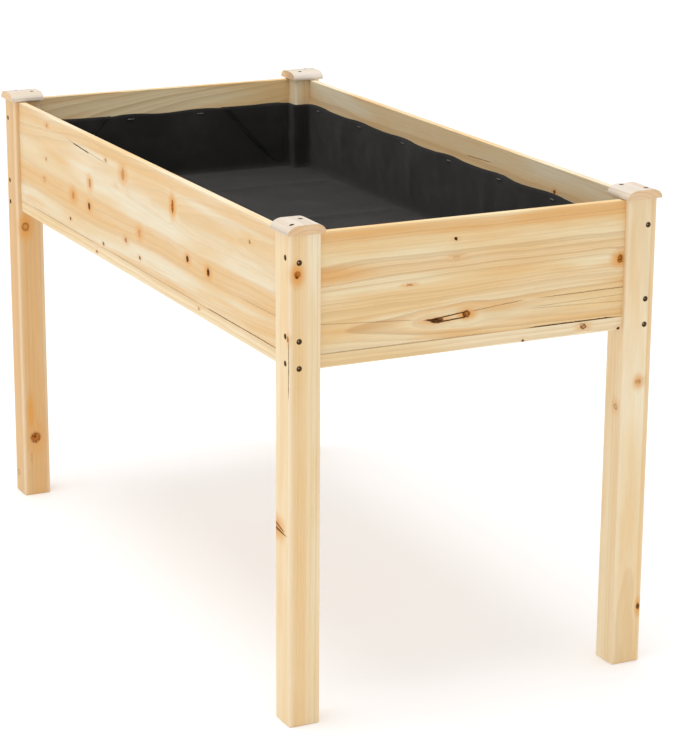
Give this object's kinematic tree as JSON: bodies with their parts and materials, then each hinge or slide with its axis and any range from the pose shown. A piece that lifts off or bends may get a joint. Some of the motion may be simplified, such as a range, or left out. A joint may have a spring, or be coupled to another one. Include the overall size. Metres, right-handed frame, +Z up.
{
  "type": "raised planter",
  "caption": "Rectangular wooden planting trough raised on square legs, with rounded post caps, a slatted drained floor and a felt liner.",
  "frame": {"origin": "on the ground, under the centre of the bed", "axes": "+X along the bed, +Y across it, +Z up"},
  "size_m": [1.229, 0.62, 0.762],
  "materials": {
    "post_wood": "planed softwood, bare",
    "cap_wood": "planed softwood, bare, sanded round",
    "board_wood": "planed softwood, bare",
    "slat_wood": "sawn and lightly planed softwood, bare",
    "liner_felt": "non-woven felt, matte",
    "screw_steel": "yellow-brown passivated zinc",
    "nail_steel": "dull dark steel",
    "staple_steel": "galvanised wire"
  },
  "bodies": {
    "root": {"bearer_screws": "screw_steel", "cap_nails": "nail_steel", "centre_bearer": "slat_wood", "floor_slat_01": "slat_wood", "floor_slat_02": "slat_wood", "floor_slat_03": "slat_wood", "floor_slat_04": "slat_wood", "floor_slat_05": "slat_wood", "floor_slat_06": "slat_wood", "floor_slat_07": "slat_wood", "floor_slat_08": "slat_wood", "floor_slat_09": "slat_wood", "floor_slat_10": "slat_wood", "floor_slat_11": "slat_wood", "floor_slat_12": "slat_wood", "floor_slat_13": "slat_wood", "front_left_cap": "cap_wood", "front_left_post": "post_wood", "front_rail": "board_wood", "front_right_cap": "cap_wood", "front_right_post": "post_wood", "front_wall": "board_wood", "left_rail": "board_wood", "left_wall": "board_wood", "liner": "liner_felt", "liner_staples": "staple_steel", "post_screws": "screw_steel", "rear_left_cap": "cap_wood", "rear_left_post": "post_wood", "rear_rail": "board_wood", "rear_right_cap": "cap_wood", "rear_right_post": "post_wood", "rear_wall": "board_wood", "right_rail": "board_wood", "right_wall": "board_wood", "slat_screws": "screw_steel", "wall_screws": "screw_steel"}
  },
  "joints": []
}
